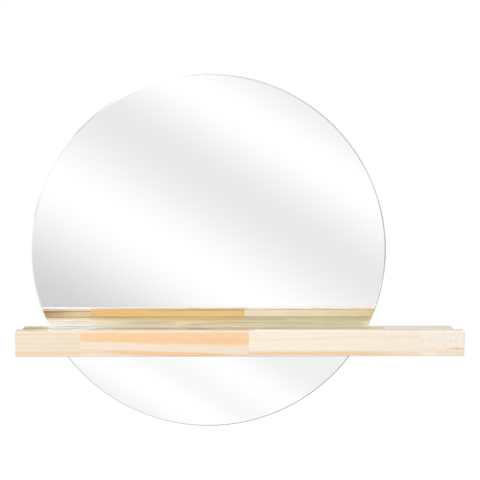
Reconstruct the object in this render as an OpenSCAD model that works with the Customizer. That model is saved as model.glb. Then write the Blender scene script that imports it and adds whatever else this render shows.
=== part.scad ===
// Round frameless mirror with a pine shelf across its lower third, hung flat on a wall.
// Origin: centre of the mirror circle on the wall plane. +X right, -Y out of the wall, +Z up.

/* [Mirror] */
// Diameter of the round mirror
mirror_d = 495; // [460:5:560]
// Thickness of the glass
glass_t = 4; // [3:0.5:6]
// Gap between the straight edges of the glass and the shelf
glass_gap = 0.5; // [0.2:0.1:1]

/* [Back panel] */
// Thickness of the back panel
panel_t = 9; // [9:0.5:16]
// How far the panel stays inside the rim of the glass
panel_inset = 10; // [6:1:20]
// Chamfer around both faces of the panel
panel_chamfer = 1; // [0.5:0.1:2]

/* [Foam tape] */
// Thickness of the tape between panel and glass
tape_t = 1; // [0.8:0.1:2]
// Width of one strip
tape_w = 25; // [15:1:40]
// Distance from one strip to the next, centre to centre
tape_pitch = 100; // [60:5:120]
// How far a strip stays inside the panel's rim and clear of the shelf
tape_margin = 10; // [5:1:20]
// Shortest strip that is worth applying
tape_min_l = 20; // [10:1:30]

/* [Shelf] */
// Width of the shelf
shelf_w = 600; // [570:5:700]
// Depth of the shelf, from the back panel to the front of the lip
shelf_d = 110; // [80:1:140]
// How far the middle of the shelf lies to the right of the mirror's centre
shelf_shift = 41.5; // [0:0.5:60]
// How far the shelf floor lies below the mirror's centre
shelf_drop = 105; // [80:1:130]
// Thickness of the shelf floor
floor_t = 18; // [15:0.5:24]
// Radius of the eased edges
edge_r = 1; // [0.5:0.1:3]

/* [Lip] */
// Thickness of the lip, front to back
lip_t = 18; // [15:0.5:24]
// How far the lip stands above the shelf floor
lip_rise = 11; // [5:0.5:25]
// How far the lip hangs below the underside of the floor
lip_fall = 5; // [0:0.5:15]

/* [Staves] */
// Length of the lip's left end stave
lip_left_end_l = 87; // [60:1:110]
// Length of the lip's left stave, next to it
lip_left_l = 224; // [180:1:240]
// Length of the lip's right end stave
lip_right_end_l = 59; // [45:1:90]
// Length of the left stave in the front row of the floor
front_left_l = 118; // [80:1:160]
// Length of the right stave in the front row of the floor
front_right_l = 228; // [180:1:260]
// Length of the left stave in the back row of the floor
back_left_l = 212; // [160:1:240]
// Length of the right stave in the back row of the floor
back_right_l = 95; // [70:1:130]
// Depth of the front row of the floor
front_row_d = 40; // [30:1:50]

/* [Finger joints] */
// Length of a finger
finger_l = 10; // [5:0.5:14]
// Distance from one finger to the next, made to fit the stave
finger_pitch = 4; // [3:0.1:6]
// Width of a finger's blunt tip
finger_tip = 0.8; // [0.4:0.1:1.2]

/* [Dowels] */
// Diameter of the dowels between lip and floor
dowel_d = 8; // [6:0.5:10]
// Length of a dowel
dowel_l = 30; // [24:1:40]
// Length of the dowel that sits in the lip
dowel_in_lip = 10.5; // [8:0.5:12]
// Number of dowels
dowel_count = 6; // [3:1:8]
// Distance from the ends of the shelf to the outer dowels
dowel_edge = 40; // [30:1:60]
// Chamfer on both ends of a dowel
dowel_chamfer = 1; // [0.5:0.1:1.5]
// Spare depth at each end of a dowel hole
dowel_spare = 0.5; // [0.2:0.1:2]

/* [Shelf screws] */
// Diameter of the screws that hold the shelf
screw_d = 4; // [3.5:0.1:5]
// Overall length of a shelf screw
screw_l = 30; // [25:1:35]
// Diameter of the countersunk head
screw_head_d = 8; // [7:0.5:9]
// Number of shelf screws
screw_count = 5; // [3:1:7]
// Distance along the shelf from the panel's rim to the outer screws
screw_edge = 40; // [30:1:60]
// How far the heads lie below the surface they are driven into
screw_sink = 0.3; // [0.1:0.1:0.6]

/* [Hangers] */
// Distance between the two keyhole plates, centre to centre
hanger_pitch = 300; // [200:5:320]
// Height of the keyholes' entry holes above the mirror's centre
hanger_rise = 120; // [80:1:140]
// Width of a keyhole plate
plate_w = 20; // [18:0.5:26]
// Thickness of a keyhole plate
plate_t = 1.6; // [1.2:0.1:2.5]
// Radius of the entry hole
entry_r = 5; // [4.5:0.1:6]
// Width of the slot above the entry hole
slot_w = 5; // [4.2:0.1:6]
// Height of the slot's end above the entry hole, centre to centre
slot_rise = 12; // [10:0.5:15]
// Distance from the keyhole to the screw holes above and below it
plate_screw_gap = 9.5; // [8:0.5:12]
// Distance from a screw hole to the end of the plate
plate_end = 6; // [5:0.5:8]
// Depth of the pocket for the wall screw's head behind the plate
pocket_d = 5; // [4:0.1:5.5]
// Space around the keyhole in that pocket
pocket_side = 1; // [0.5:0.1:2]
// Gap around the plate in its recess
plate_gap = 0.2; // [0.1:0.05:0.5]

/* [Hanger screws] */
// Diameter of the small screws that hold the plates
small_screw_d = 3; // [2.5:0.1:3.5]
// Length of a small screw
small_screw_l = 7; // [5:0.5:7.5]
// Diameter of its countersunk head
small_head_d = 5.6; // [5:0.1:7]

/* [Fits] */
// Radial gap around screws and dowels in their holes
fit_gap = 0.05; // [0.02:0.01:0.3]
// Radial gap around the shelf screws where they pass through the panel
through_gap = 0.25; // [0.1:0.05:0.5]

/* [Hidden] */

$fn = 120;
overcut = 1; // how far a cutting shape runs past the surface that it cuts
rim_steps = 10; // facets of the polished rim, from face to face

// Distances from the wall
glass_back = panel_t + tape_t;
glass_front = glass_back + glass_t;
shelf_front = panel_t + shelf_d;
lip_back = shelf_front - lip_t;
row_line = lip_back - front_row_d;
plate_face = screw_sink;

// Heights
floor_top = -shelf_drop;
floor_bottom = floor_top - floor_t;
floor_mid = floor_top - floor_t / 2;
lip_top = floor_top + lip_rise;
lip_bottom = floor_bottom - lip_fall;

// Across
mirror_r = mirror_d / 2;
panel_r = mirror_r - panel_inset;
shelf_left = shelf_shift - shelf_w / 2;
shelf_right = shelf_left + shelf_w;
panel_half_at_floor = circle_height(panel_r, floor_mid);
screw_xs = spread(-panel_half_at_floor + screw_edge, panel_half_at_floor - screw_edge, screw_count);
dowel_xs = spread(shelf_left + dowel_edge, shelf_right - dowel_edge, dowel_count);
hanger_xs = [-hanger_pitch / 2, hanger_pitch / 2];

// Joints between the staves, from left to right. The stave that no length is set for takes what is left.
lip_line_1 = shelf_left + lip_left_end_l;
lip_line_2 = lip_line_1 + lip_left_l;
lip_line_3 = shelf_right - lip_right_end_l;
front_line_1 = shelf_left + front_left_l;
front_line_2 = shelf_right - front_right_l;
back_line_1 = shelf_left + back_left_l;
back_line_2 = shelf_right - back_right_l;

// Keyhole plate, measured up from the entry hole's centre
lower_screw_z = -entry_r - plate_screw_gap;
upper_screw_z = slot_rise + slot_w / 2 + plate_screw_gap;
plate_bottom = lower_screw_z - plate_end;
plate_top = upper_screw_z + plate_end;

// Proportions of a countersunk screw
point_share = 1.2; // length of the point, in diameters
recess_share = 0.55; // span of the cross recess, in head diameters
recess_slot_share = 0.14; // width of one arm of the recess, in head diameters
recess_depth_share = 0.22; // depth of the recess, in head diameters

// count places spread evenly from first to last
function spread(first, last, count) = [for (i = [0:count - 1]) first + i * (last - first) / (count - 1)];

// Height of a circle of radius r above or below its centre, at a distance x from it
function circle_height(r, x) = sqrt(max(0, pow(r, 2) - pow(x, 2)));

// ---- helpers ----

// Stands a drawing from the XY plane upright, facing the room, with its back at a distance from the wall
module upright(distance = 0) {
  translate([0, -distance, 0])
    rotate([90, 0, 0])
      children();
}

// Rectangle with its lower left corner at the origin and all corners rounded
module eased_rectangle(size, r) {
  translate([r, 0])
    square([size.x - 2 * r, size.y]);
  translate([0, r])
    square([size.x, size.y - 2 * r]);
  for (x = [r, size.x - r], y = [r, size.y - r])
    translate([x, y])
      circle(r);
}

// Slot with round ends, from one height to another
module round_slot(r, low, high) {
  translate([0, low])
    circle(r);
  translate([0, high])
    circle(r);
  translate([-r, low])
    square([2 * r, high - low]);
}

// Zigzag of one finger joint across a stave of thickness t, from its lower to its upper face
function finger_line(x, t) =
  let (count = max(1, round(t / finger_pitch)), pitch = t / count)
  [for (i = [0:count - 1]) each [
    [x, i * pitch],
    [x, i * pitch + finger_tip / 2],
    [x + finger_l, (i + 0.5) * pitch - finger_tip / 2],
    [x + finger_l, (i + 0.5) * pitch + finger_tip / 2],
    [x, (i + 1) * pitch - finger_tip / 2]
  ], [x, t]];

// Straight cut across the end of a board
function straight_line(x, t) = [[x, 0], [x, t]];

function reversed(list) = [for (i = [len(list) - 1:-1:0]) list[i]];

// Outline of a stave with fingers at either end, or a straight cut at an end of the shelf
module stave_outline(x1, x2, t) {
  left = x1 > shelf_left ? finger_line(x1, t) : straight_line(x1, t);
  right = x2 < shelf_right ? finger_line(x2, t) : straight_line(x2, t);
  polygon(concat(left, reversed(right)));
}

// Countersunk wood screw that points away from the wall, its head's face at a distance from it
module wood_screw(d, l, head_d, distance) {
  r = d / 2;
  head_r = head_d / 2;
  upright(distance)
    difference() {
      rotate_extrude()
        polygon([
          [0, 0], [head_r, 0], [r, head_r - r], [r, l - point_share * d], [0, l]
        ]);
      for (turn = [0, 90])
        rotate(turn)
          translate([-recess_share * head_d / 2, -recess_slot_share * head_d / 2, -overcut])
            cube([
              recess_share * head_d,
              recess_slot_share * head_d,
              recess_depth_share * head_d + overcut
            ]);
    }
}

// Hole for such a screw, with a gap around its shank and its head's cone carried back past the surface
module screw_hole(d, l, head_d, distance, gap) {
  r = d / 2 + gap;
  head_r = head_d / 2;
  reach = distance + overcut;
  upright(distance)
    rotate_extrude()
      polygon([
        [0, -reach], [head_r, -reach], [head_r, 0], [r, head_r - r],
        [r, l - point_share * d], [0, l + gap]
      ]);
}

module at_shelf_screws() {
  for (x = screw_xs)
    translate([x, 0, floor_mid])
      children();
}

module at_dowels() {
  for (x = dowel_xs)
    translate([x, 0, floor_mid])
      upright(lip_back)
        children();
}

module at_plate_screws(x) {
  for (z = [lower_screw_z, upper_screw_z])
    translate([x, 0, hanger_rise + z])
      children();
}

// ---- mirror ----

// Points along an arc about a centre, from one angle to another
function arc(centre, r, from, to, steps) =
  [for (i = [0:steps]) let (a = from + i * (to - from) / steps) centre + r * [cos(a), sin(a)]];

// Disc of glass with its rim polished round
module glass_disc() {
  edge = glass_t / 2;
  rotate_extrude()
    polygon(concat([[0, 0]], arc([mirror_r - edge, edge], edge, -90, 90, rim_steps), [[0, glass_t]]));
}

// The part of the disc above or below a height
module glass_segment(z, up) {
  intersection() {
    upright(glass_back)
      glass_disc();
    translate([-mirror_d, -glass_front - overcut, up ? z : z - mirror_d])
      cube([2 * mirror_d, glass_t + 2 * overcut, mirror_d]);
  }
}

module upper_mirror() {
  color("lightsteelblue")
    glass_segment(floor_top + glass_gap, true);
}

module lower_mirror() {
  color("lightsteelblue")
    glass_segment(floor_bottom - glass_gap, false);
}

// ---- back panel ----

module panel_disc() {
  upright()
    rotate_extrude()
      polygon([
        [0, 0],
        [panel_r - panel_chamfer, 0],
        [panel_r, panel_chamfer],
        [panel_r, panel_t - panel_chamfer],
        [panel_r - panel_chamfer, panel_t],
        [0, panel_t]
      ]);
}

// Recess for a keyhole plate and, behind it, the pocket for the head of the wall screw
module keyhole_recess() {
  recess_d = plate_face + plate_t;
  translate([0, overcut, 0])
    upright()
      linear_extrude(recess_d + overcut)
        round_slot(plate_w / 2 + plate_gap, plate_bottom + plate_w / 2, plate_top - plate_w / 2);
  upright()
    linear_extrude(recess_d + pocket_d)
      round_slot(entry_r + pocket_side, 0, slot_rise);
}

module back_panel() {
  color("burlywood")
    difference() {
      panel_disc();
      at_shelf_screws()
        screw_hole(screw_d, screw_l, screw_head_d, screw_sink, through_gap);
      for (x = hanger_xs) {
        translate([x, 0, hanger_rise])
          keyhole_recess();
        at_plate_screws(x)
          screw_hole(small_screw_d, small_screw_l, small_head_d, plate_face, fit_gap);
      }
    }
}

// ---- foam tape ----

// One strip after another across the panel, each cut to the length that the circle leaves it
module tape_strips(start_z, up) {
  reach_x = panel_r - tape_margin;
  side_count = floor(reach_x / tape_pitch);
  for (i = [-side_count:side_count - 1]) {
    x = (i + 0.5) * tape_pitch;
    end_z = circle_height(reach_x, abs(x) + tape_w / 2);
    strip_l = end_z - (up ? start_z : -start_z);
    if (strip_l >= tape_min_l)
      translate([x - tape_w / 2, -glass_back, up ? start_z : -end_z])
        cube([tape_w, tape_t, strip_l]);
  }
}

module upper_tape() {
  color("whitesmoke")
    tape_strips(floor_top + tape_margin, true);
}

module lower_tape() {
  color("whitesmoke")
    tape_strips(floor_bottom - tape_margin, false);
}

// ---- lip ----

// The whole lip as one bar with eased edges, before it is parted into staves
module lip_bar() {
  lip_h = lip_top - lip_bottom;
  intersection() {
    translate([shelf_left, 0, lip_bottom])
      upright(lip_back - overcut)
        linear_extrude(lip_t + 2 * overcut)
          eased_rectangle([shelf_w, lip_h], edge_r);
    translate([shelf_left, -shelf_front, lip_bottom - overcut])
      linear_extrude(lip_h + 2 * overcut)
        eased_rectangle([shelf_w, lip_t], edge_r);
    translate([shelf_left - overcut, -shelf_front, lip_bottom])
      rotate([90, 0, 90])
        linear_extrude(shelf_w + 2 * overcut)
          eased_rectangle([lip_t, lip_h], edge_r);
  }
}

module dowel_hole() {
  r = dowel_d / 2 + fit_gap;
  translate([0, 0, -(dowel_l - dowel_in_lip) - dowel_spare])
    cylinder(h = dowel_l + 2 * dowel_spare, r = r);
}

// The fingers lie in the lip's thickness, so that its front and back show straight lines
module lip_stave(x1, x2) {
  difference() {
    intersection() {
      lip_bar();
      translate([0, -shelf_front, lip_bottom - overcut])
        linear_extrude(lip_top - lip_bottom + 2 * overcut)
          stave_outline(x1, x2, lip_t);
    }
    at_dowels()
      dowel_hole();
  }
}

module lip_left_end() {
  color("blanchedalmond")
    lip_stave(shelf_left, lip_line_1);
}

module lip_left() {
  color("navajowhite")
    lip_stave(lip_line_1, lip_line_2);
}

module lip_right() {
  color("antiquewhite")
    lip_stave(lip_line_2, lip_line_3);
}

module lip_right_end() {
  color("linen")
    lip_stave(lip_line_3, shelf_right);
}

// ---- floor ----

// Bar of one row with its ends eased, before it is parted into staves
module floor_bar(near, far) {
  translate([shelf_left, 0, floor_bottom])
    upright(near)
      linear_extrude(far - near)
        eased_rectangle([shelf_w, floor_t], edge_r);
}

// The fingers lie in the floor's thickness, so that its top shows straight lines
module floor_stave(x1, x2, near, far) {
  difference() {
    intersection() {
      floor_bar(near, far);
      translate([0, 0, floor_bottom])
        upright(near - overcut)
          linear_extrude(far - near + 2 * overcut)
            stave_outline(x1, x2, floor_t);
    }
    at_dowels()
      dowel_hole();
    at_shelf_screws()
      screw_hole(screw_d, screw_l, screw_head_d, screw_sink, fit_gap);
  }
}

module floor_front_left() {
  color("wheat")
    floor_stave(shelf_left, front_line_1, row_line, lip_back);
}

module floor_front_middle() {
  color("cornsilk")
    floor_stave(front_line_1, front_line_2, row_line, lip_back);
}

module floor_front_right() {
  color("moccasin")
    floor_stave(front_line_2, shelf_right, row_line, lip_back);
}

module floor_back_left() {
  color("cornsilk")
    floor_stave(shelf_left, back_line_1, panel_t, row_line);
}

module floor_back_middle() {
  color("wheat")
    floor_stave(back_line_1, back_line_2, panel_t, row_line);
}

module floor_back_right() {
  color("oldlace")
    floor_stave(back_line_2, shelf_right, panel_t, row_line);
}

// ---- fasteners ----

module dowel() {
  r = dowel_d / 2;
  c = dowel_chamfer;
  translate([0, 0, dowel_in_lip - dowel_l])
    rotate_extrude()
      polygon([[0, 0], [r - c, 0], [r, c], [r, dowel_l - c], [r - c, dowel_l], [0, dowel_l]]);
}

module dowels() {
  color("tan")
    at_dowels()
      dowel();
}

module shelf_screws() {
  color("goldenrod")
    at_shelf_screws()
      wood_screw(screw_d, screw_l, screw_head_d, screw_sink);
}

module keyhole_plate(x) {
  translate([x, 0, 0])
    difference() {
      translate([0, 0, hanger_rise])
        upright(plate_face)
          linear_extrude(plate_t)
            difference() {
              round_slot(plate_w / 2, plate_bottom + plate_w / 2, plate_top - plate_w / 2);
              circle(entry_r);
              round_slot(slot_w / 2, 0, slot_rise);
            }
      at_plate_screws(0)
        screw_hole(small_screw_d, small_screw_l, small_head_d, plate_face, fit_gap);
    }
}

module left_keyhole_plate() {
  color("silver")
    keyhole_plate(hanger_xs[0]);
}

module right_keyhole_plate() {
  color("silver")
    keyhole_plate(hanger_xs[1]);
}

module plate_screws() {
  color("gainsboro")
    for (x = hanger_xs)
      at_plate_screws(x)
        wood_screw(small_screw_d, small_screw_l, small_head_d, plate_face);
}

back_panel();
upper_mirror();
lower_mirror();
upper_tape();
lower_tape();
lip_left_end();
lip_left();
lip_right();
lip_right_end();
floor_front_left();
floor_front_middle();
floor_front_right();
floor_back_left();
floor_back_middle();
floor_back_right();
dowels();
shelf_screws();
left_keyhole_plate();
right_keyhole_plate();
plate_screws();
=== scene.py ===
"""Looks of a round wall mirror with a pine shelf: its materials, the studio around it and the camera.

Lengths in the materials are millimetres in the part's own frame, and everything else is in metres.
"""

import math
from collections import namedtuple
from functools import partial, reduce

import bpy
from mathutils import Matrix, Vector


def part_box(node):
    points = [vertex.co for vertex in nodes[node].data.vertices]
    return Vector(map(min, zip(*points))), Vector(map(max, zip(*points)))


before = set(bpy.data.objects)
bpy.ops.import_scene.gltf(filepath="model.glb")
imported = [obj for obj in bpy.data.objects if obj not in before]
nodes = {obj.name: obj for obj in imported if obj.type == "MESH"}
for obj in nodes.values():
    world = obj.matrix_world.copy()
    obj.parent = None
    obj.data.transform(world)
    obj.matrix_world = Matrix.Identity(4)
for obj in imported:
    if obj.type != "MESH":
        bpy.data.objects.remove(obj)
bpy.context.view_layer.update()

# ---- camera, where the photograph was taken from ----
CAMERA_PLACE = (-0.0178, -2.1104, 0.2497)
CAMERA_YAW = math.radians(1.664)  # to the right
CAMERA_PITCH = math.radians(-6.334)  # below the horizon
CAMERA_ROLL = math.radians(0.22)
CAMERA_LENS = 113.59  # mm
CAMERA_SENSOR = 36.0  # mm, its width

# ---- studio ----
WHITE = (1.0, 1.0, 1.0)
ROOM_LIGHT = (0.52, 0.52, 0.52)  # what the walls of the studio send onto matt surfaces
FLOOR_Z = -1.5  # the mirror's centre hangs 1.5 m above the floor
FLOOR_SIZE = 30.0
FLOOR_GREY = (0.3, 0.3, 0.3)  # its matt part, which takes the shadow
FLOOR_GLOW = 0.9  # what lifts it to white for the camera

KEY_PLACE = Vector((-1.1, -2.9, 1.75))
KEY_TARGET = Vector((0.0, -0.05, -0.05))
KEY_SIZE = 1.4
KEY_POWER = 99.0
# In place of the lamp, gloss sees a glow with soft edges that sends out about as much light. Its range is
# the cosine of the angle from the lamp's middle, where it starts and where it is full.
KEY_GLOW = 13.5
KEY_GLOW_RANGE = (0.949, 0.993)

# Soft panels of the studio, as gloss and the mirror see them: brightness along a slanting axis that rises
# to the right, as smooth steps (from, to, change), first for the upper panels and then for the low ones.
BAND_ANGLE = math.radians(31)
BAND_AXIS = (math.sin(BAND_ANGLE), 0.0, math.cos(BAND_ANGLE))
UPPER_START = 0.88
UPPER_STEPS = (
    (-0.60, -0.42, -0.16), (-0.36, -0.246, 0.14), (-0.246, -0.182, -0.21), (-0.182, -0.110, 0.38),
    (-0.110, -0.0543, -0.20), (-0.0543, -0.0092, 0.20), (-0.0092, 0.0266, -0.15), (0.035, 0.095, -0.46),
    (0.27, 0.50, 0.44), (0.60, 0.95, -0.20),
)
LOWER_START = 0.70
LOWER_STEPS = (
    (-0.70, -0.45, 0.28), (-0.42, -0.216, -0.07), (-0.216, -0.1905, 0.12), (-0.1905, -0.1735, -0.07),
    (-0.1735, -0.1565, 0.06), (-0.1565, -0.131, -0.12), (-0.05, 0.20, 0.10),
)
PANEL_CHANGE = (-0.1813, -0.1642)  # z of the direction at which the low panels give way to the upper ones

# A window ahead of the mirror and a little to the left. It shows in the varnish, and not straight in the
# mirror. Its slopes, sideways and upwards, are where it starts, is full, starts to end and ends.
WINDOW_SIDES = (-0.30, -0.20, -0.069, -0.056)
WINDOW_HEIGHT = (0.07, 0.12, 0.30, 0.36)
WINDOW_COLOUR = (1.17, 1.72, 2.65)

# What else only gloss sees: a dim stretch of wall level with the window, given as upward slopes too, a dim
# lower right and a bright upper left
SHADE_HEIGHT = (0.06, 0.11, 0.22, 0.30)
SHADE_LEVEL = 0.35
DUSK_AXIS = (0.707, 0.0, -0.707)
DUSK_RANGE = (0.35, 0.80)
DUSK_LEVEL = 0.42
DAWN_LEVEL = 1.45

# How much brighter the studio is for gloss after a matt bounce. That is mostly the light that the
# mirror throws back onto the shelf.
MIRRORED_LIGHT = 1.22


class Graph:
    """Makes the nodes of one tree.

    A value is a socket or a number, and a colour is a socket or three numbers.
    """

    def __init__(self, tree):
        self.tree = tree
        tree.nodes.clear()

    def node(self, kind, inputs=None, **settings):
        node = self.tree.nodes.new(kind)
        for name, value in settings.items():
            setattr(node, name, value)
        for name, value in (inputs or {}).items():
            self.put(node.inputs[name], value)
        return node

    def put(self, socket, value):
        if isinstance(value, bpy.types.NodeSocket):
            self.tree.links.new(value, socket)
        elif socket.type == "RGBA":
            socket.default_value = (*value, 1.0)
        else:
            socket.default_value = value

    def math(self, operation, *values):
        node = self.node("ShaderNodeMath", dict(enumerate(values)), operation=operation)
        return node.outputs["Value"]

    def total(self, *values):
        return reduce(partial(self.math, "ADD"), values)

    def product(self, *values):
        return reduce(partial(self.math, "MULTIPLY"), values)

    def vector(self, operation, *values):
        node = self.node("ShaderNodeVectorMath", dict(enumerate(values)), operation=operation)
        return node.outputs["Vector"]

    def dot(self, a, b):
        node = self.node("ShaderNodeVectorMath", {0: a, 1: b}, operation="DOT_PRODUCT")
        return node.outputs["Value"]

    def scaled(self, vector, factor):
        """A vector or colour times a number that may be above 1."""
        node = self.node("ShaderNodeVectorMath", {0: vector, 3: factor}, operation="SCALE")
        return node.outputs["Vector"]

    def step(self, value, start, end, low=0.0, high=1.0):
        """Smooth change from low to high as value goes from start to end."""
        node = self.node("ShaderNodeMapRange", interpolation_type="SMOOTHSTEP")
        for socket, number in zip(node.inputs, (value, start, end, low, high)):
            self.put(socket, number)
        return node.outputs["Result"]

    def spot(self, value, centre, half_width):
        """1 at the centre, falling smoothly to 0 at the half width on both sides."""
        distance = self.math("ABSOLUTE", self.math("SUBTRACT", value, centre))
        return self.step(distance, 0.0, half_width, 1.0, 0.0)

    def band(self, value, start, full, fade, end):
        """0 up to start, 1 from full to fade, and 0 again from end on."""
        return self.product(self.step(value, start, full), self.step(value, fade, end, 1.0, 0.0))

    def level(self, share, level):
        """1 where the share is 0, and the level where the share is 1."""
        return self.math("MULTIPLY_ADD", share, level - 1.0, 1.0)

    def between(self, share, a, b):
        """A number that goes from a to b with the share."""
        return self.node("ShaderNodeMix", {0: share, 2: a, 3: b}, data_type="FLOAT").outputs[0]

    def mix(self, share, a, b, blend_type="MIX"):
        """A colour that goes from a to b with the share."""
        node = self.node("ShaderNodeMix", {0: share, 6: a, 7: b}, data_type="RGBA", blend_type=blend_type)
        return node.outputs[2]

    def paint(self, colour, tone, strength, *shares):
        """The colour under a tone, which has its full strength where all the shares are 1."""
        return self.mix(self.product(*shares, strength), colour, tone)

    def grey(self, value):
        return self.node("ShaderNodeCombineColor", {0: value, 1: value, 2: value}).outputs[0]

    def ramp(self, value, stops):
        """A colour from stops of (place from 0 to 1, colour)."""
        ramp = self.node("ShaderNodeValToRGB", {"Fac": value})
        elements = ramp.color_ramp.elements
        while len(elements) < len(stops):
            elements.new(1.0)
        for element, (place, colour) in zip(elements, stops):
            element.position = place
            element.color = (*colour, 1.0)
        return ramp.outputs["Color"]

    def noise(self, position, scale, shift=0.0, detail=2.0, distortion=0.0):
        """Noise from 0 to 1.

        Scale gives the cells per millimetre along X, Y and Z, and each shift gives other noise.
        """
        place = self.vector("MULTIPLY_ADD", position, scale, (shift, shift * 0.7, shift * 1.3))
        node = self.node("ShaderNodeTexNoise", {
            "Vector": place, "Scale": 1.0, "Detail": detail, "Distortion": distortion,
        })
        return node.outputs["Fac"]

    def split(self, vector):
        return self.node("ShaderNodeSeparateXYZ", {0: vector}).outputs

    def millimetres(self):
        """Where the surface lies in the part's own frame."""
        return self.scaled(self.node("ShaderNodeTexCoord").outputs["Object"], 1000.0)

    def normal(self):
        """Which way the surface faces."""
        return self.split(self.node("ShaderNodeNewGeometry").outputs["Normal"])


def new_material(name):
    material = bpy.data.materials.new(name)
    material.use_nodes = True
    return material, Graph(material.node_tree)


def principled(graph, bump=None, bump_height=0.0, **inputs):
    """Ends a material in a Principled BSDF.

    Input names have underscores for spaces. The bump is a height from 0 to 1, and bump_height is in mm.
    """
    values = {name.replace("_", " "): value for name, value in inputs.items()}
    if bump is not None:
        node = graph.node("ShaderNodeBump", {"Height": bump, "Distance": bump_height / 1000, "Strength": 1.0})
        values["Normal"] = node.outputs["Normal"]
    shader = graph.node("ShaderNodeBsdfPrincipled", values)
    graph.node("ShaderNodeOutputMaterial", {"Surface": shader.outputs["BSDF"]})


def dress(material, *names):
    for name in names:
        nodes[name].material_slots[0].material = material


def mm(node_name):
    """Lowest and highest corner of a CAD node, in millimetres."""
    low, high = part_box(node_name)
    return low * 1000, high * 1000


# ---- mirror ----

SILVER = (0.975, 0.978, 0.98)
FLAT = 0.995  # cosine above which a face of the glass counts as flat, and not as part of the rim


def mirror_glass():
    """Silver in front, grey paint at the back and a bright polished rim."""
    material, graph = new_material("mirror_glass")
    position = graph.millimetres()
    across = graph.normal()["Y"]
    silver = graph.math("LESS_THAN", across, -FLAT)
    paint = graph.math("GREATER_THAN", across, FLAT)
    no_silver = graph.math("SUBTRACT", 1.0, silver)
    no_paint = graph.math("SUBTRACT", 1.0, paint)

    mottle = graph.noise(position, (0.04, 0.04, 0.04), detail=4.0)
    paint_colour = graph.mix(mottle, (0.30, 0.32, 0.34), (0.38, 0.40, 0.42))
    cloud = graph.noise(position, (0.1, 0.1, 0.1), shift=3.0)
    rim_colour = graph.mix(cloud, (0.90, 0.94, 0.93), (0.95, 0.98, 0.97))
    colour = graph.mix(silver, rim_colour, SILVER)
    colour = graph.mix(paint, colour, paint_colour)

    metallic = graph.math("MAXIMUM", silver, graph.product(no_paint, 0.75))
    roughness = graph.total(graph.product(paint, 0.45), graph.product(no_silver, 0.08))
    principled(graph, Base_Color=colour, Metallic=metallic, Roughness=roughness)
    dress(material, "upper_mirror", "lower_mirror")


# ---- pine ----

# Tones of the wood under its varnish, from pale to dark. Those noted below also carry painted light and
# shade.
IVORY = (0.98, 0.90, 0.78)
# WAX and BUTTER tint the right stave's inner face, warmed there as painted bounce light
WAX = (0.995, 0.895, 0.73)
CHALK = (0.98, 0.89, 0.765)
PALE = (0.975, 0.87, 0.735)
BUTTER = (0.99, 0.84, 0.56)
APRICOT = (0.99, 0.78, 0.50)
SAND = (0.915, 0.785, 0.645)
STRAW = (0.925, 0.765, 0.575)
CREAM = (0.895, 0.765, 0.605)
BLUSH = (0.94, 0.755, 0.555)
# Painted light: the pale strip on the floor at the mirror's foot
MIRROR_FOOT_LIGHT = (0.88, 0.77, 0.53)
# Heartwood tone of the left stave's inner face, warmed as painted bounce light
HEARTWOOD_AND_BOUNCE = (0.995, 0.685, 0.285)
AMBER = (0.93, 0.668, 0.43)
HONEY = (0.958, 0.632, 0.352)
GRAIN = (0.80, 0.62, 0.42)
ORANGE = (0.905, 0.595, 0.315)
TAN = (0.90, 0.57, 0.31)
RUSSET = (0.85, 0.50, 0.36)
# Pale floor tone of the front left stave, partly a painted highlight
SAPWOOD_AND_HIGHLIGHT = (0.64, 0.55, 0.39)
# Painted shade: the line under the lip's inner upper edge
ARRIS_SHADE = (0.46, 0.38, 0.27)
KHAKI = (0.455, 0.378, 0.18)
OLIVE = (0.425, 0.353, 0.162)
BROWN = (0.45, 0.26, 0.12)
RESIN = (0.40, 0.17, 0.06)
OCHRE = (0.25, 0.18, 0.06)

VARNISH_ROUGHNESS = 0.18
WOOD_BUMP = 0.10  # mm


class Place:
    """Where a point of the wood lies, in mm, and which way it faces."""

    def __init__(self, graph):
        self.position = graph.millimetres()
        self.x, self.y, self.z = graph.split(self.position)
        self.normal = graph.normal()


def ring_depth(graph, at, pith, start, lean, sway, seed):
    """Distance outwards from the radius start round the pith, as the rings wander."""
    pith_y, pith_z = pith
    aside = graph.math("SUBTRACT", at.y, pith_y)
    above = graph.math("MULTIPLY_ADD", at.x, -lean, graph.math("SUBTRACT", at.z, pith_z))
    radius = graph.math("SQRT", graph.total(graph.product(aside, aside), graph.product(above, above)))
    slow = graph.noise(at.position, (0.006, 0.02, 0.02), seed, detail=1.0)
    wander = graph.product(graph.math("SUBTRACT", slow, 0.5), 4 * sway)
    return graph.total(graph.math("SUBTRACT", radius, start), wander)


def late_wood(graph, at, depth, ring_gap, seed):
    """How much late wood there is: it grows through each ring, ends sharply and is patchy along the grain."""
    uneven = graph.noise(at.position, (0.003, 0.3, 0.3), seed + 5.0)
    turn = graph.math("FRACT", graph.math("DIVIDE", graph.math("MULTIPLY_ADD", uneven, 3.0, depth), ring_gap))
    patchy = graph.noise(at.position, (0.008, 0.1, 0.1), seed + 9.0)
    return graph.product(graph.band(turn, 0.35, 0.85, 0.88, 1.0), patchy, 2.0)


def end_grain(graph, colour, at, seed):
    """Darker and gritty where the wood is cut across."""
    end = graph.step(graph.math("ABSOLUTE", at.normal["X"]), 0.6, 0.95)
    grit = graph.noise(at.position, (1.5, 1.5, 1.5), seed + 4.0)
    return graph.mix(end, colour, graph.scaled(colour, graph.math("MULTIPLY_ADD", grit, 0.30, 0.66)))


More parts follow.
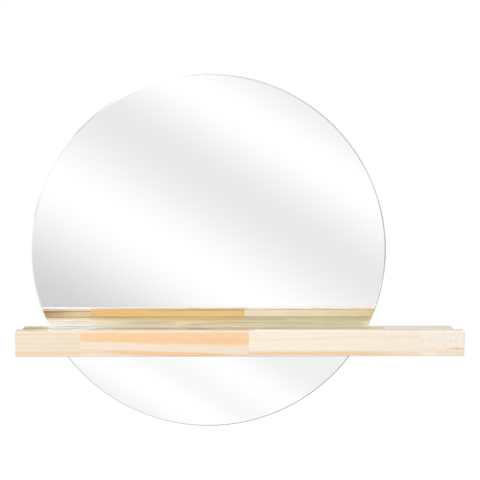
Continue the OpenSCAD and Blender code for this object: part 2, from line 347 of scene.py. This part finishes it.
def pine(name, pith, stops, seed, ring_gap, ring_share, start=0.0, lean=0.0, sway=1.5, ring_tone=AMBER,
         polish=0.15, gloss=0.5, extra=None):
    """Pine whose year rings run round a pith line, given as (y, z) where x is 0, that leans upwards along x.

    stops are (mm outwards from the radius start, colour), ring_gap is in mm, and sway is how far the rings
    wander in mm. extra may paint further marks.
    """
    material, graph = new_material(name)
    at = Place(graph)
    depth = ring_depth(graph, at, pith, start, lean, sway, seed)
    span = stops[-1][0]
    colour = graph.ramp(graph.math("DIVIDE", depth, span), [(place / span, tone) for place, tone in stops])
    colour = graph.paint(colour, ring_tone, ring_share, late_wood(graph, at, depth, ring_gap, seed))

    fibre = graph.noise(at.position, (0.03, 1.6, 1.6), seed + 2.0, detail=3.0)
    colour = graph.scaled(colour, graph.math("MULTIPLY_ADD", fibre, 0.14, 0.93))
    canals = graph.noise(at.position, (0.10, 2.4, 2.4), seed + 7.0, detail=0.0)
    colour = graph.mix(graph.step(canals, 0.70, 0.80, 0.0, 0.25), colour, BROWN)
    if extra:
        colour = extra(graph, colour, at)
    colour = end_grain(graph, colour, at, seed)

    roughness = graph.math("MULTIPLY_ADD", fibre, 0.16, 0.40)
    principled(graph, bump=fibre, bump_height=WOOD_BUMP, Base_Color=colour, Roughness=roughness,
               Specular_IOR_Level=gloss, Coat_Weight=polish, Coat_Roughness=VARNISH_ROUGHNESS)
    dress(material, name)


# ---- lip ----

lip_low, lip_high = mm("lip_left")
lip_front_y, lip_back_y, lip_top_z = lip_low.y, lip_high.y, lip_high.z

# The rings of a lip stave run round a pith high above it, so they cross its front as level stripes.
LIP_PITH_RISE = 70.0


def below_top(graph, at):
    """Depth below the lip's top."""
    return graph.math("SUBTRACT", lip_top_z, at.z)


def on_front(graph, at):
    return graph.step(at.normal["Y"], -0.3, -0.7)


def on_inner_face(graph, at):
    return graph.step(at.normal["Y"], 0.3, 0.8)


def in_low_stripe(graph, at):
    """Share of the lip's lowest quarter, where a darker stripe runs."""
    return graph.step(at.z, lip_top_z - 26.0, lip_top_z - 24.5, 1.0, 0.0)


def painted_lip_shade(graph, colour, at, rear_shade_level, line_end=1.9, shade_line=0.7, top_shade=(0.87, 0.79, 0.71)):
    """Painted shade: a darker lip top, most so at its rear, and a dark shade line under the inner upper edge.

    The painted shade line ends line_end mm below the top, and is fainter to the left.
    """
    # Painted shade: top faces are tinted darker than the front
    top = graph.step(at.normal["Z"], 0.4, 0.9)
    colour = graph.mix(top, colour, top_shade, "MULTIPLY")
    # Painted shade: the rear of the top is darker still
    rear = graph.product(graph.step(at.y, lip_back_y - 11.0, lip_back_y - 6.0),
                         graph.step(at.normal["Z"], 0.3, 0.7))
    colour = graph.scaled(colour, graph.level(rear, rear_shade_level))
    # Painted shade line on the inner face, just under its upper edge
    line_foot = lip_top_z - line_end
    line = graph.band(at.z, line_foot, line_foot + 0.8, lip_top_z - 0.7, lip_top_z - 0.2)
    inside = graph.step(at.normal["Y"], 0.3, 0.6)
    to_the_right = graph.step(at.x, -150.0, 10.0, 0.15, 1.0)
    return graph.paint(colour, ARRIS_SHADE, shade_line, inside, to_the_right, line)


def left_end_marks(graph, colour, at):
    """The inner face turns brown to the left, below a light edge and a streak of resin."""
    below = below_top(graph, at)
    wood = graph.mix(graph.step(at.x, -240.0, -200.0), TAN, APRICOT)
    wood = graph.mix(graph.step(below, 2.6, 3.4), IVORY, wood)
    streak_end = graph.step(at.x, -235.0, -195.0, 5.8, 4.6)
    streak_fade = graph.math("SUBTRACT", streak_end, 0.8)
    wood = graph.paint(wood, RESIN, 0.62, graph.band(below, 2.4, 3.2, streak_fade, streak_end))
    colour = graph.mix(on_inner_face(graph, at), colour, wood)
    # Painted shade on the top, and no shade line here
    return painted_lip_shade(graph, colour, at, rear_shade_level=0.88, shade_line=0.0)


def left_marks(graph, colour, at):
    """Orange heartwood, warmed as painted bounce light, on the inner face, and a pale upper arris.

    On the front a paler band lies to the right below the middle, and the low stripe fades at both ends.
    """
    # Inner face: heartwood tone, made warmer than the front as painted bounce light from the mirror
    colour = graph.paint(colour, HEARTWOOD_AND_BOUNCE, 0.9, on_inner_face(graph, at))
    near_top = graph.step(at.z, lip_top_z - 2.4, lip_top_z - 0.8)
    not_inside = graph.step(at.normal["Y"], 0.5, 0.3)
    colour = graph.paint(colour, BLUSH, 0.9, near_top, not_inside)
    fringe = graph.band(below_top(graph, at), 16.0, 18.0, 19.5, 24.0)
    colour = graph.paint(colour, BLUSH, 0.5, graph.step(at.x, -110.0, -50.0), fringe, on_front(graph, at))
    ends = graph.math("MAXIMUM", graph.step(at.x, -150.0, -105.0, 1.0, 0.0), graph.step(at.x, 0.0, 35.0))
    colour = graph.paint(colour, SAND, 0.55, ends, in_low_stripe(graph, at))
    # Painted shade on the top, and a painted shade line under the inner upper edge
    return painted_lip_shade(graph, colour, at, rear_shade_level=0.66, line_end=3.2)


def right_marks(graph, colour, at):
    """A faint ring that rises to the right, and a small bark pocket low down.

    To the right the inner face turns yellower, and the low stripe turns paler.
    The inner face's warm tone is its own pine made warmer as painted bounce light from the mirror.
    """
    below = below_top(graph, at)
    front = on_front(graph, at)
    rise = graph.step(at.x, 125.0, 190.0, 0.0, 3.0)
    ring = graph.spot(graph.math("ADD", below, rise), 10.7, 1.6)
    colour = graph.paint(colour, STRAW, 0.85, ring, front)
    pocket_along = graph.band(at.x, 179.7, 183.3, 184.2, 187.8)
    pocket_down = graph.band(below, 32.6, 33.2, 33.7, 34.3)
    colour = graph.paint(colour, BROWN, 0.8, pocket_along, pocket_down, front)
    # Inner face: pine tone, warmer and yellower than the front as painted bounce light from the mirror
    wood = graph.mix(graph.step(at.x, 90.0, 255.0), WAX, BUTTER)
    colour = graph.mix(on_inner_face(graph, at), colour, wood)
    colour = graph.paint(colour, PALE, 0.45, graph.step(at.x, 200.0, 265.0), in_low_stripe(graph, at))
    # Painted shade on the top, and a painted shade line under the inner upper edge
    return painted_lip_shade(graph, colour, at, rear_shade_level=0.84, top_shade=(0.93, 0.86, 0.79))


# Marks of the right end stave: place along X, depth below the lip's top, half width and half height in mm,
# then tone and strength
KNOT_X, KNOT_DEPTH = 330.7, 23.5
KNOT_MARKS = (
    (KNOT_X + 1.5, KNOT_DEPTH, 15.0, 1.9, RUSSET, 0.5),
    (KNOT_X - 6.0, KNOT_DEPTH + 4.0, 40.0, 6.0, AMBER, 0.30),
    (KNOT_X, KNOT_DEPTH, 2.6, 1.5, BROWN, 0.42),
)
# Its pin knots: the first four of these values
PIN_KNOTS = (
    (284.0, 12.0, 1.3, 0.9), (296.0, 10.6, 1.5, 0.9), (323.0, 13.3, 1.4, 1.0), (330.0, 14.0, 1.6, 1.1),
    (300.5, 22.1, 1.4, 1.1), (291.0, 24.8, 1.3, 0.9), (314.0, 19.6, 1.9, 0.9), (318.5, 25.6, 1.3, 1.0),
    (307.0, 31.0, 1.5, 0.9), (337.0, 29.7, 1.6, 1.0), (282.5, 16.5, 1.0, 0.8),
)
PIN_KNOT_STRENGTH = 0.32


def right_end_marks(graph, colour, at):
    """One larger knot in a reddish streak, and a few pin knots."""
    below = below_top(graph, at)
    wobble = graph.noise(at.position, (0.5, 0.5, 0.5), 3.0)

    def blot(place, depth, half_width, half_height):
        """Share of an oval with an uneven outline."""
        across = graph.math("DIVIDE", graph.math("SUBTRACT", at.x, place), half_width)
        down = graph.math("DIVIDE", graph.math("SUBTRACT", below, depth), half_height)
        square = graph.total(graph.product(across, across), graph.product(down, down))
        return graph.step(graph.math("MULTIPLY_ADD", wobble, 0.8, square), 0.5, 1.6, 1.0, 0.0)

    pin_knots = [(*oval, BROWN, PIN_KNOT_STRENGTH) for oval in PIN_KNOTS]
    for *oval, tone, strength in (*KNOT_MARKS, *pin_knots):
        colour = graph.paint(colour, tone, strength, blot(*oval))
    # Painted shade on the top, and a painted shade line under the inner upper edge
    return painted_lip_shade(graph, colour, at, rear_shade_level=0.92, top_shade=(0.96, 0.90, 0.84))


def lip_staves():
    lip_pine = partial(pine, pith=(lip_front_y, lip_top_z + LIP_PITH_RISE), start=LIP_PITH_RISE)
    lip_pine("lip_left_end", seed=11.0, sway=0.5, ring_gap=6.6, ring_share=0.35, ring_tone=GRAIN, gloss=0.25,
             stops=((0.0, CREAM), (26.2, CREAM), (27.6, AMBER), (30.8, AMBER), (32.0, CREAM), (40.0, SAND)),
             extra=left_end_marks)
    lip_pine("lip_left", seed=23.0, lean=-0.022, sway=0.8, ring_gap=4.2, ring_share=0.12, gloss=0.25,
             stops=((0.0, AMBER), (4.0, AMBER), (10.0, HONEY), (15.4, HONEY), (18.8, SAND), (27.2, SAND),
                    (29.2, ORANGE), (32.8, ORANGE), (34.4, SAND), (40.0, CREAM)),
             extra=left_marks)
    lip_pine("lip_right", seed=37.0, sway=0.6, ring_gap=5.0, ring_share=0.08,
             stops=((0.0, PALE), (24.4, PALE), (27.4, BLUSH), (28.6, AMBER), (30.4, ORANGE), (32.2, STRAW),
                    (34.0, SAND), (40.0, CREAM)),
             extra=right_marks)
    lip_pine("lip_right_end", seed=41.0, sway=0.5, ring_gap=6.0, ring_share=0.06,
             stops=((0.0, CHALK), (24.0, CHALK), (28.0, PALE), (40.0, CHALK)),
             extra=right_end_marks)


# ---- floor of the shelf ----

floor_low, floor_high = mm("floor_back_middle")
floor_top_z = floor_high.z
back_row_y = (floor_low.y + floor_high.y) / 2
front_row_y = (floor_low.y + lip_back_y) / 2
mirror_front_y = mm("upper_mirror")[0].y
floor_pine = partial(pine, polish=0.5)

# A broad dark year ring on the floor's top: where it fades in and out along X, its y on the left, its bends
# as (from x, to x, change of y), half its width, and its strength
Ring = namedtuple("Ring", "ends left_y bends half_width strength")

BACK_LEFT_RINGS = (
    Ring(ends=(-142.0, -108.0, -60.0, -30.0), left_y=-47.0, bends=((-100.0, -50.0, -4.0),),
         half_width=22.0, strength=1.0),
    Ring(ends=(-235.0, -215.0, -60.0, -40.0), left_y=-31.0, bends=(),
         half_width=9.0, strength=0.75),
)
BACK_MIDDLE_RINGS = (
    Ring(ends=(-48.0, -15.0, 135.0, 160.0), left_y=-29.0, bends=((-35.0, 30.0, -19.0), (100.0, 160.0, 8.0)),
         half_width=10.0, strength=1.0),
    Ring(ends=(140.0, 170.0, 185.0, 215.0), left_y=-40.0, bends=((150.0, 205.0, 18.0),),
         half_width=8.0, strength=0.45),
)
FRONT_MIDDLE_RINGS = (
    Ring(ends=(-138.0, -100.0, 90.0, 170.0), left_y=-72.0, bends=((-40.0, 40.0, -2.0),),
         half_width=13.0, strength=0.95),
)


def rings_and_foot_light(graph, colour, at, rings):
    """Broad dark year rings, painted light in a pale strip at the mirror's foot, paler wood to the right."""
    ripple = graph.noise(at.position, (0.02, 0.05, 0.05), 12.0)
    ripple = graph.product(graph.math("SUBTRACT", ripple, 0.5), 8.0)
    for ring in rings:
        bends = (graph.step(at.x, start, end, 0.0, change) for start, end, change in ring.bends)
        course = graph.total(ring.left_y, ripple, *bends)
        crosswise = graph.spot(at.y, course, ring.half_width)
        colour = graph.paint(colour, OCHRE, ring.strength, crosswise, graph.band(at.x, *ring.ends))
    # Painted light: a patchy paler strip on the floor at the mirror's foot, against the shade there
    patchy = graph.noise(at.position, (0.012, 0.08, 0.08), 15.0)
    foot = graph.product(graph.step(at.y, mirror_front_y - 12.0, mirror_front_y - 3.0),
                         graph.step(patchy, 0.30, 0.60, 0.5, 0.85))
    colour = graph.mix(foot, colour, MIRROR_FOOT_LIGHT)
    return graph.mix(graph.step(at.x, 205.0, floor_high.x, 0.0, 0.75), colour, PALE)


def sapwood_highlight_and_shade(graph, colour, at):
    """Pale sapwood, partly painted highlight, with painted shadow at the lip, darker to its right joint."""
    # Painted contact shadow towards the lip
    foot = graph.step(at.y, lip_back_y + 5.0, lip_back_y + 22.0, 0.75, 0.0)
    # Darker towards the right joint, where the painted highlight ends
    end = graph.step(at.x, -185.0, -142.0, 0.0, 0.95)
    return graph.mix(graph.math("MAXIMUM", foot, end), colour, OLIVE)


def one_tone(tone):
    """Stops of a stave without stripes."""
    return (0.0, tone), (60.0, tone)


def floor_staves():
    """Dark staves have their pith close under the top, so that the rings cut it in long arches."""
    for name, row_y, pith_depth, tone, seed, lean, rings in (
        ("floor_front_middle", front_row_y, 20.0, OLIVE, 57.0, -0.05, FRONT_MIDDLE_RINGS),
        ("floor_front_right", front_row_y, 24.0, OLIVE, 63.0, 0.03, None),
        ("floor_back_left", back_row_y, 18.0, KHAKI, 71.0, 0.06, BACK_LEFT_RINGS),
        ("floor_back_middle", back_row_y, 22.0, KHAKI, 77.0, -0.04, BACK_MIDDLE_RINGS),
    ):
        extra = partial(rings_and_foot_light, rings=rings) if rings else None
        floor_pine(name, (row_y, floor_top_z - pith_depth), one_tone(tone), seed, lean=lean, sway=2.5,
                   ring_gap=4.5, ring_share=0.3, ring_tone=OCHRE, extra=extra)
    for name, row_y, tone, seed, extra in (
        # The front left stave's pale tone is partly a painted highlight
        ("floor_front_left", front_row_y, SAPWOOD_AND_HIGHLIGHT, 51.0, sapwood_highlight_and_shade),
        ("floor_back_right", back_row_y, PALE, 83.0, None),
    ):
        floor_pine(name, (row_y, floor_top_z - 40.0), one_tone(tone), seed, lean=0.02,
                   ring_gap=5.0, ring_share=0.15, ring_tone=CREAM, extra=extra)


# ---- the other materials ----

def panel_board():
    """Fibreboard, a little darker round its rim."""
    material, graph = new_material("panel_board")
    position = graph.millimetres()
    fibre = graph.noise(position, (1.1, 1.1, 1.1), detail=5.0, distortion=1.2)
    cloud = graph.noise(position, (0.03, 0.03, 0.03), 6.0, detail=3.0)
    colour = graph.ramp(fibre, (
        (0.25, (0.34, 0.22, 0.13)), (0.5, (0.50, 0.35, 0.22)), (0.75, (0.64, 0.48, 0.33)),
    ))
    colour = graph.scaled(colour, graph.math("MULTIPLY_ADD", cloud, 0.3, 0.85))
    rim = graph.math("LESS_THAN", graph.math("ABSOLUTE", graph.normal()["Y"]), 0.9)
    colour = graph.paint(colour, (0.36, 0.24, 0.15), 0.35, rim)
    principled(graph, bump=fibre, bump_height=0.15, Base_Color=colour, Roughness=0.85)
    dress(material, "back_panel")


def foam_tape():
    material, graph = new_material("foam_tape")
    cells = graph.noise(graph.millimetres(), (2.5, 2.5, 2.5), detail=3.0)
    colour = graph.mix(cells, (0.78, 0.78, 0.75), (0.92, 0.92, 0.90))
    principled(graph, bump=cells, bump_height=0.2, Base_Color=colour, Roughness=0.8)
    dress(material, "upper_tape", "lower_tape")


def beech():
    """Plain beech with its grain along Y, as the dowels lie."""
    material, graph = new_material("beech")
    fibre = graph.noise(graph.millimetres(), (1.8, 0.06, 1.8), detail=3.0)
    colour = graph.ramp(fibre, ((0.3, (0.50, 0.33, 0.19)), (0.7, (0.70, 0.51, 0.33))))
    principled(graph, bump=fibre, bump_height=0.1, Base_Color=colour, Roughness=0.6)
    dress(material, "dowels")


def metal(name, dark, light, *node_names):
    """Plated steel: a light tone that shifts in soft clouds, with fine rolling marks."""
    material, graph = new_material(name)
    position = graph.millimetres()
    cloud = graph.noise(position, (0.25, 0.25, 0.25), detail=3.0)
    marks = graph.noise(position, (3.0, 3.0, 0.15), 8.0)
    colour = graph.mix(cloud, dark, light)
    roughness = graph.math("MULTIPLY_ADD", marks, 0.22, 0.22)
    principled(graph, bump=marks, bump_height=0.02, Base_Color=colour, Metallic=1.0, Roughness=roughness)
    dress(material, *node_names)


# ---- studio ----

def seen_directly(graph, path):
    """1 where the camera sees the studio, also through something clear."""
    return graph.math("MAXIMUM", path["Is Camera Ray"], path["Is Transmission Ray"])


def plain_panels(graph, direction, height):
    """Brightness of the studio's soft panels."""
    along = graph.dot(direction, BAND_AXIS)

    def bands(start, steps):
        return graph.total(start, *(graph.step(along, a, b, 0.0, change) for a, b, change in steps))

    upper = bands(UPPER_START, UPPER_STEPS)
    lower = bands(LOWER_START, LOWER_STEPS)
    return graph.between(graph.step(height, *PANEL_CHANGE), lower, upper)


def studio_world():
    world = bpy.data.worlds.new("studio")
    bpy.context.scene.world = world
    world.use_nodes = True
    world.cycles.sampling_method = "NONE"
    graph = Graph(world.node_tree)
    direction = graph.node("ShaderNodeTexCoord").outputs["Generated"]
    x, y, z = graph.split(direction)
    # Kept above 0, so that the slopes stay finite
    ahead = graph.math("MAXIMUM", graph.math("MULTIPLY", y, -1.0), 0.001)
    sideways = graph.math("DIVIDE", x, ahead)
    upwards = graph.math("DIVIDE", z, ahead)

    plain = plain_panels(graph, direction, z)
    dusk = graph.dot(direction, DUSK_AXIS)
    dawn = graph.math("MULTIPLY", dusk, -1.0)
    panels = graph.product(
        plain,
        graph.step(dusk, *DUSK_RANGE, 1.0, DUSK_LEVEL),
        graph.step(dawn, *DUSK_RANGE, 1.0, DAWN_LEVEL),
        graph.level(graph.band(upwards, *SHADE_HEIGHT), SHADE_LEVEL),
    )
    window = graph.product(graph.band(sideways, *WINDOW_SIDES), graph.band(upwards, *WINDOW_HEIGHT))
    glossy = graph.mix(window, graph.grey(panels), WINDOW_COLOUR)
    towards_key = graph.dot(direction, (KEY_PLACE - KEY_TARGET).normalized())
    glow = graph.step(towards_key, *KEY_GLOW_RANGE, 0.0, KEY_GLOW)
    glossy = graph.vector("ADD", glossy, graph.grey(glow))

    # Seen straight in the mirror the studio is only its plain panels. The rest shows in rough gloss, and in
    # what the mirror throws back. Depths are whole numbers, so each test lies halfway between two of them.
    path = graph.node("ShaderNodeLightPath").outputs
    after_matt = graph.math("GREATER_THAN", path["Diffuse Depth"], 0.5)
    glossy = graph.scaled(glossy, graph.level(after_matt, MIRRORED_LIGHT))
    bounces = graph.total(path["Glossy Depth"], path["Diffuse Depth"])
    straight = graph.product(path["Is Singular Ray"], graph.math("LESS_THAN", bounces, 1.5))
    glossy = graph.mix(straight, glossy, graph.grey(plain))

    colour = graph.mix(path["Is Glossy Ray"], ROOM_LIGHT, glossy)
    colour = graph.mix(seen_directly(graph, path), colour, WHITE)
    background = graph.node("ShaderNodeBackground", {"Color": colour, "Strength": 1.0})
    graph.node("ShaderNodeOutputWorld", {"Surface": background.outputs[0]})


def studio_floor():
    """A pale floor that the camera sees as white, apart from the object's shadow on it."""
    half = FLOOR_SIZE / 2
    mesh = bpy.data.meshes.new("floor")
    corners = [(x, y, FLOOR_Z) for x, y in ((-half, -half), (half, -half), (half, half), (-half, half))]
    mesh.from_pydata(corners, [], [(0, 1, 2, 3)])
    floor = bpy.data.objects.new("floor", mesh)
    bpy.context.scene.collection.objects.link(floor)

    material, graph = new_material("floor")
    path = graph.node("ShaderNodeLightPath").outputs
    strength = graph.product(seen_directly(graph, path), FLOOR_GLOW)
    matt = graph.node("ShaderNodeBsdfDiffuse", {"Color": FLOOR_GREY})
    glow = graph.node("ShaderNodeEmission", {"Color": WHITE, "Strength": strength})
    both = graph.node("ShaderNodeAddShader", {0: matt.outputs[0], 1: glow.outputs[0]})
    graph.node("ShaderNodeOutputMaterial", {"Surface": both.outputs[0]})
    mesh.materials.append(material)
    floor.visible_glossy = False


def key_light():
    light = bpy.data.lights.new("key", "AREA")
    light.size = KEY_SIZE
    light.energy = KEY_POWER
    lamp = bpy.data.objects.new("key", light)
    lamp.location = KEY_PLACE
    lamp.rotation_euler = (KEY_TARGET - KEY_PLACE).to_track_quat("-Z", "Y").to_euler()
    lamp.visible_glossy = False
    bpy.context.scene.collection.objects.link(lamp)


def camera():
    data = bpy.data.cameras.new("camera")
    data.lens = CAMERA_LENS
    data.sensor_width = CAMERA_SENSOR
    item = bpy.data.objects.new("camera", data)
    turn = (Matrix.Rotation(-CAMERA_YAW, 4, "Z") @ Matrix.Rotation(math.pi / 2 + CAMERA_PITCH, 4, "X")
            @ Matrix.Rotation(CAMERA_ROLL, 4, "Z"))
    item.matrix_world = Matrix.Translation(CAMERA_PLACE) @ turn
    bpy.context.scene.collection.objects.link(item)
    bpy.context.scene.camera = item


camera()
mirror_glass()
lip_staves()
floor_staves()
panel_board()
foam_tape()
beech()
metal("zinc_plate", (0.62, 0.63, 0.66), (0.80, 0.81, 0.83),
      "left_keyhole_plate", "right_keyhole_plate", "plate_screws")
metal("yellow_zinc", (0.70, 0.52, 0.24), (0.86, 0.74, 0.46), "shelf_screws")
studio_world()
studio_floor()
key_light()
bpy.context.scene.view_settings.view_transform = "Standard"
